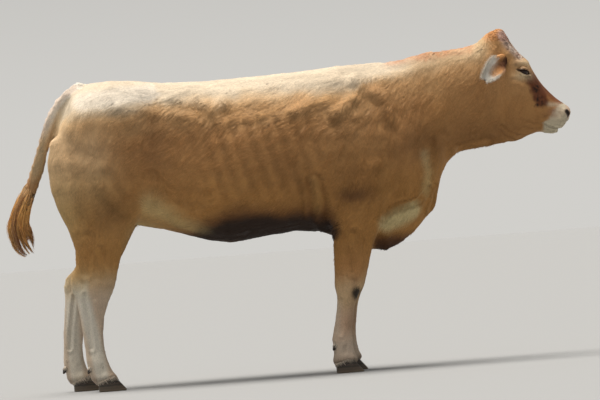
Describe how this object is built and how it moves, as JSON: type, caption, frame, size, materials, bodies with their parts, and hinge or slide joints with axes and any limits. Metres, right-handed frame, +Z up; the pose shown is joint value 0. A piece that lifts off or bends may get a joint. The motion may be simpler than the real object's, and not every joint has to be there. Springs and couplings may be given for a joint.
{
  "type": "cow",
  "caption": "Life-size still model of a polled blonde beef cow, standing square with her head raised and her tail hanging; rests on flat hoof soles.",
  "frame": {"origin": "on the floor under the hooves, midway between the tail's switch and the muzzle, on the middle plane", "axes": "+X ahead of the cow, +Y to her left, +Z up"},
  "size_m": [2.5725, 0.6958, 1.4891],
  "materials": {
    "coat": "short golden-blond hair over skin, paler on the lower legs, belly and muzzle",
    "tail_hair": "long wavy golden-brown hair",
    "hoof": "dark grey-brown horn, worn and slightly ringed",
    "eye": "wet dark brown eye",
    "bare_skin": "pale pink-grey bare skin of the udder"
  },
  "bodies": {
    "root": {"trunk": "coat", "neck": "coat", "head": "coat", "tail": "coat", "tail_switch": "tail_hair", "udder": "bare_skin", "ear_right": "coat", "ear_left": "coat", "eye_right": "eye", "eye_left": "eye", "leg_right_hind": "coat", "leg_left_hind": "coat", "leg_right_fore": "coat", "leg_left_fore": "coat", "claw_right_hind_inner": "hoof", "claw_right_hind_outer": "hoof", "claw_left_hind_inner": "hoof", "claw_left_hind_outer": "hoof", "claw_right_fore_inner": "hoof", "claw_right_fore_outer": "hoof", "claw_left_fore_inner": "hoof", "claw_left_fore_outer": "hoof", "dewclaw_right_hind_inner": "hoof", "dewclaw_right_hind_outer": "hoof", "dewclaw_left_hind_inner": "hoof", "dewclaw_left_hind_outer": "hoof", "dewclaw_right_fore_inner": "hoof", "dewclaw_right_fore_outer": "hoof", "dewclaw_left_fore_inner": "hoof", "dewclaw_left_fore_outer": "hoof"}
  },
  "joints": []
}
